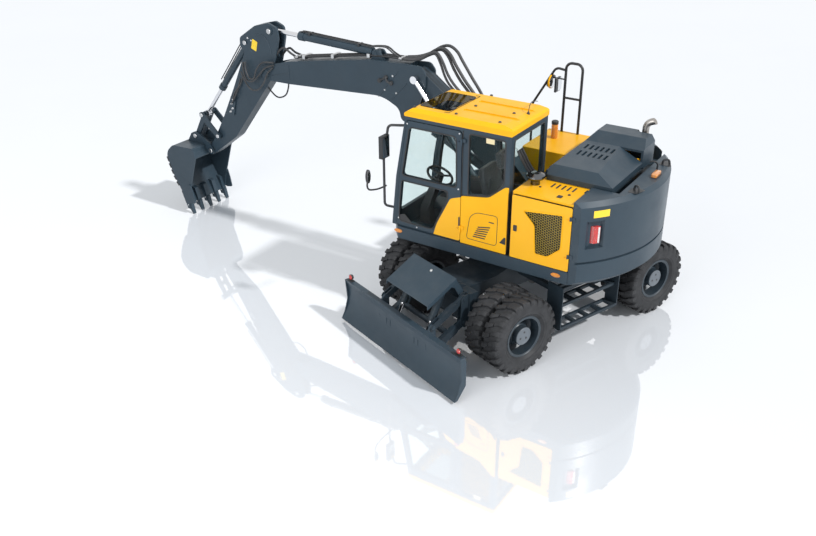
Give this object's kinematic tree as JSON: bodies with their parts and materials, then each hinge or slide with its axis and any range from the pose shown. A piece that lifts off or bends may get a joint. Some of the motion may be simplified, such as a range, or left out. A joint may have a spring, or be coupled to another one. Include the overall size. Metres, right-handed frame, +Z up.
{
  "type": "wheeled excavator",
  "caption": "Wheeled excavator with a jointed boom, digging bucket, glazed cab, slewing upper body and a levelling blade.",
  "frame": {"origin": "on the ground below the centre of the swing ring", "axes": "+X forward along the boom of the upper body, +Y to the operator's left, +Z up; the undercarriage stands turned by 70 degrees about +Z, its blade end first"},
  "size_m": [8.6082, 4.7681, 3.4759],
  "materials": {
    "chassis_paint": "satin",
    "slate_paint": "satin",
    "yellow_paint": "semi-gloss",
    "rim_paint": "satin",
    "tyre_rubber": "matt",
    "dark_metal": "matt",
    "black_metal": "satin",
    "rod_chrome": "polished",
    "cab_window": "clear",
    "dark_window": "tinted",
    "seat_fabric": "woven",
    "black_plastic": "matt",
    "exhaust_steel": "brushed",
    "lamp_plastic": "gloss"
  },
  "bodies": {
    "chassis": {"chassis_frame": "chassis_paint", "swing_ring": "dark_metal", "drive_axle": "chassis_paint", "steer_axle": "chassis_paint", "driveline": "dark_metal", "boarding_steps": "chassis_paint", "blade_cover": "chassis_paint"},
    "wheel_drive_left": {"tyres_drive_left": "tyre_rubber", "rims_drive_left": "rim_paint"},
    "wheel_drive_right": {"tyres_drive_right": "tyre_rubber", "rims_drive_right": "rim_paint"},
    "steering_knuckle_left": {"knuckle_left": "chassis_paint"},
    "steering_knuckle_right": {"knuckle_right": "chassis_paint"},
    "wheel_steer_left": {"tyres_steer_left": "tyre_rubber", "rims_steer_left": "rim_paint"},
    "wheel_steer_right": {"tyres_steer_right": "tyre_rubber", "rims_steer_right": "rim_paint"},
    "blade_low_arms": {"blade_arms": "chassis_paint"},
    "blade_plate": {"blade": "chassis_paint"},
    "blade_top_links": {"blade_links": "chassis_paint"},
    "blade_ram_barrels": {"blade_barrels": "chassis_paint"},
    "blade_ram_rods": {"blade_rods": "rod_chrome"},
    "upper_body": {"upper_frame": "slate_paint", "deck_skirt": "slate_paint", "counterweight": "slate_paint", "cab_shell": "slate_paint", "cab_roof": "yellow_paint", "cab_glass": "cab_window", "roof_skylight": "dark_window", "operator_seat": "seat_fabric", "control_console": "black_plastic", "left_housing": "yellow_paint", "cooler_pack": "dark_metal", "tank_housing": "yellow_paint", "engine_cowl": "slate_paint", "engine_block": "dark_metal", "exhaust_pipe": "exhaust_steel", "air_precleaner": "black_plastic", "handrails": "black_metal", "lamps": "lamp_plastic"},
    "door": {"cab_door": "slate_paint", "cab_door_glass": "cab_window"},
    "side_door": {"service_door": "yellow_paint"},
    "hood": {"engine_hood": "slate_paint"},
    "lower_boom": {"base_boom": "slate_paint"},
    "outer_boom": {"upper_boom": "slate_paint"},
    "stick": {"arm": "slate_paint"},
    "digging_bucket": {"bucket": "slate_paint"},
    "guide_links": {"bucket_side_links": "slate_paint"},
    "push_link": {"bucket_link": "slate_paint"},
    "lift_ram_barrels": {"lift_barrels": "slate_paint"},
    "lift_ram_rods": {"lift_rods": "rod_chrome"},
    "adjust_ram_barrel": {"adjust_barrel": "slate_paint"},
    "adjust_ram_rod": {"adjust_rod": "rod_chrome"},
    "arm_ram_barrel": {"arm_barrel": "slate_paint"},
    "arm_ram_rod": {"arm_rod": "rod_chrome"},
    "bucket_ram_barrel": {"bucket_barrel": "slate_paint"},
    "bucket_ram_rod": {"bucket_rod": "rod_chrome"}
  },
  "joints": [
    {"name": "wheel_drive_left_spin", "type": "hinge", "parent": "chassis", "child": "wheel_drive_left", "pos_m": [0.44121, 1.2122, 0.525], "axis": [-0.9397, 0.342, 0], "continuous": true},
    {"name": "steer_left", "type": "hinge", "parent": "chassis", "child": "steering_knuckle_left", "pos_m": [-0.97766, -0.93182, 0.525], "axis": [0, 0, 1], "range_deg": [-27, 27]},
    {"name": "wheel_steer_left_spin", "type": "hinge", "parent": "steering_knuckle_left", "child": "wheel_steer_left", "pos_m": [-0.41384, -1.13703, 0.525], "axis": [-0.9397, 0.342, 0], "continuous": true},
    {"name": "wheel_drive_right_spin", "type": "hinge", "parent": "chassis", "child": "wheel_drive_right", "pos_m": [0.44121, 1.2122, 0.525], "axis": [-0.9397, 0.342, 0], "continuous": true},
    {"name": "steer_right", "type": "hinge", "parent": "chassis", "child": "steering_knuckle_right", "pos_m": [0.14997, -1.34224, 0.525], "axis": [0, 0, 1], "range_deg": [-27, 27]},
    {"name": "wheel_steer_right_spin", "type": "hinge", "parent": "steering_knuckle_right", "child": "wheel_steer_right", "pos_m": [-0.41384, -1.13703, 0.525], "axis": [-0.9397, 0.342, 0], "continuous": true},
    {"name": "blade_lift", "type": "hinge", "parent": "chassis", "child": "blade_low_arms", "pos_m": [0.58143, 1.59748, 0.56], "axis": [0.9397, -0.342, 0], "range_deg": [-14.8, 40.2]},
    {"name": "blade_level", "type": "hinge", "parent": "blade_low_arms", "child": "blade_plate", "pos_m": [0.75244, 2.06732, 0.32], "axis": [0.9397, -0.342, 0], "range_deg": [-40.2, 14.8]},
    {"name": "blade_link_turn", "type": "hinge", "parent": "chassis", "child": "blade_top_links", "pos_m": [0.58143, 1.59748, 0.9], "axis": [0.9397, -0.342, 0], "range_deg": [-14.8, 40.2]},
    {"name": "blade_ram_swing", "type": "hinge", "parent": "chassis", "child": "blade_ram_barrels", "pos_m": [0.62932, 1.72903, 1.06], "axis": [0.9397, -0.342, 0], "range_deg": [-7.8, 21.19]},
    {"name": "blade_ram_stroke", "type": "slide", "parent": "blade_ram_barrels", "child": "blade_ram_rods", "axis": [0.1464, 0.4023, -0.9037], "range_m": [-0.2789, 0.1027]},
    {"name": "swing", "type": "hinge", "parent": "chassis", "child": "upper_body", "pos_m": [0, 0, 1.208], "axis": [0, 0, -1], "continuous": true},
    {"name": "cab_door_hinge", "type": "hinge", "parent": "upper_body", "child": "door", "pos_m": [0.489, 1.247, 2.1], "axis": [0, 0, 1], "range_deg": [0, 170]},
    {"name": "side_door_hinge", "type": "hinge", "parent": "upper_body", "child": "side_door", "pos_m": [-1.034, 1.265, 1.8], "axis": [0, 0, 1], "range_deg": [0, 110]},
    {"name": "hood_hinge", "type": "hinge", "parent": "upper_body", "child": "hood", "pos_m": [-0.395, 0.11, 2.352], "axis": [0, 1, 0], "range_deg": [0, 60]},
    {"name": "boom_lift", "type": "hinge", "parent": "upper_body", "child": "lower_boom", "pos_m": [0.1, -0.06, 1.7], "axis": [0, -1, 0], "range_deg": [-45, 42]},
    {"name": "boom_adjust", "type": "hinge", "parent": "lower_boom", "child": "outer_boom", "pos_m": [1.9, -0.06, 3.04], "axis": [0, -1, 0], "range_deg": [-29, 26]},
    {"name": "arm_swing", "type": "hinge", "parent": "outer_boom", "child": "stick", "pos_m": [4.7, -0.06, 2.7], "axis": [0, 1, 0], "range_deg": [-25, 84]},
    {"name": "bucket_curl", "type": "hinge", "parent": "stick", "child": "digging_bucket", "pos_m": [6.1, -0.06, 1.15], "axis": [0, 1, 0], "range_deg": [-50, 100]},
    {"name": "lift_ram_swing", "type": "hinge", "parent": "upper_body", "child": "lift_ram_barrels", "pos_m": [0.5, -0.06, 1.3], "axis": [0, -1, 0], "range_deg": [-45.76, 42.71]},
    {"name": "lift_ram_stroke", "type": "slide", "parent": "lift_ram_barrels", "child": "lift_ram_rods", "axis": [0.6269, 0, 0.7791], "range_m": [-0.4184, 0.3905]},
    {"name": "adjust_ram_swing", "type": "hinge", "parent": "lower_boom", "child": "adjust_ram_barrel", "pos_m": [0.67, -0.06, 1.813], "axis": [0, -1, 0], "range_deg": [-2.63, 2.93]},
    {"name": "adjust_ram_stroke", "type": "slide", "parent": "adjust_ram_barrel", "child": "adjust_ram_rod", "axis": [0.9054, 0, 0.4245], "range_m": [-0.2875, 0.2577]},
    {"name": "arm_ram_swing", "type": "hinge", "parent": "outer_boom", "child": "arm_ram_barrel", "pos_m": [2.64, -0.06, 3.275], "axis": [0, 1, 0], "range_deg": [-1.77, 5.94]},
    {"name": "arm_ram_stroke", "type": "slide", "parent": "arm_ram_barrel", "child": "arm_ram_rod", "axis": [0.9991, 0, 0.0435], "range_m": [-0.253, 0.85]},
    {"name": "bucket_ram_swing", "type": "hinge", "parent": "stick", "child": "bucket_ram_barrel", "pos_m": [5.11, -0.06, 3.12], "axis": [0, 1, 0], "range_deg": [-1.3, 2.59]},
    {"name": "bucket_ram_stroke", "type": "slide", "parent": "bucket_ram_barrel", "child": "bucket_ram_rod", "axis": [0.6282, 0, -0.778], "range_m": [-0.2737, 0.5473]},
    {"name": "guide_link_turn", "type": "hinge", "parent": "stick", "child": "guide_links", "pos_m": [5.87, -0.06, 1.46], "axis": [0, 1, 0], "range_deg": [-41.31, 82.62]},
    {"name": "push_link_turn", "type": "hinge", "parent": "guide_links", "child": "push_link", "pos_m": [6.2, -0.06, 1.77], "axis": [0, 1, 0], "range_deg": [-56.1, 28.05]}
  ],
  "couplings": [
    {"joint": "steer_right", "follows": "steer_left", "ratio": 1},
    {"joint": "blade_level", "follows": "blade_lift", "ratio": -1},
    {"joint": "blade_link_turn", "follows": "blade_lift", "ratio": 1},
    {"joint": "blade_ram_swing", "follows": "blade_lift", "ratio": 0.51667},
    {"joint": "blade_ram_stroke", "follows": "blade_lift", "m_per_rad": -0.38969},
    {"joint": "lift_ram_swing", "follows": "boom_lift", "ratio": 0.99703},
    {"joint": "lift_ram_stroke", "follows": "boom_lift", "m_per_rad": 0.52228},
    {"joint": "adjust_ram_swing", "follows": "boom_adjust", "ratio": -0.0991},
    {"joint": "adjust_ram_stroke", "follows": "boom_adjust", "m_per_rad": 0.55682},
    {"joint": "arm_ram_swing", "follows": "arm_swing", "ratio": 0.06933},
    {"joint": "arm_ram_stroke", "follows": "arm_swing", "m_per_rad": 0.5684},
    {"joint": "bucket_ram_swing", "follows": "bucket_curl", "ratio": 0.02543},
    {"joint": "bucket_ram_stroke", "follows": "bucket_curl", "m_per_rad": 0.30744},
    {"joint": "guide_link_turn", "follows": "bucket_curl", "ratio": 0.81},
    {"joint": "push_link_turn", "follows": "bucket_curl", "ratio": -0.55}
  ]
}
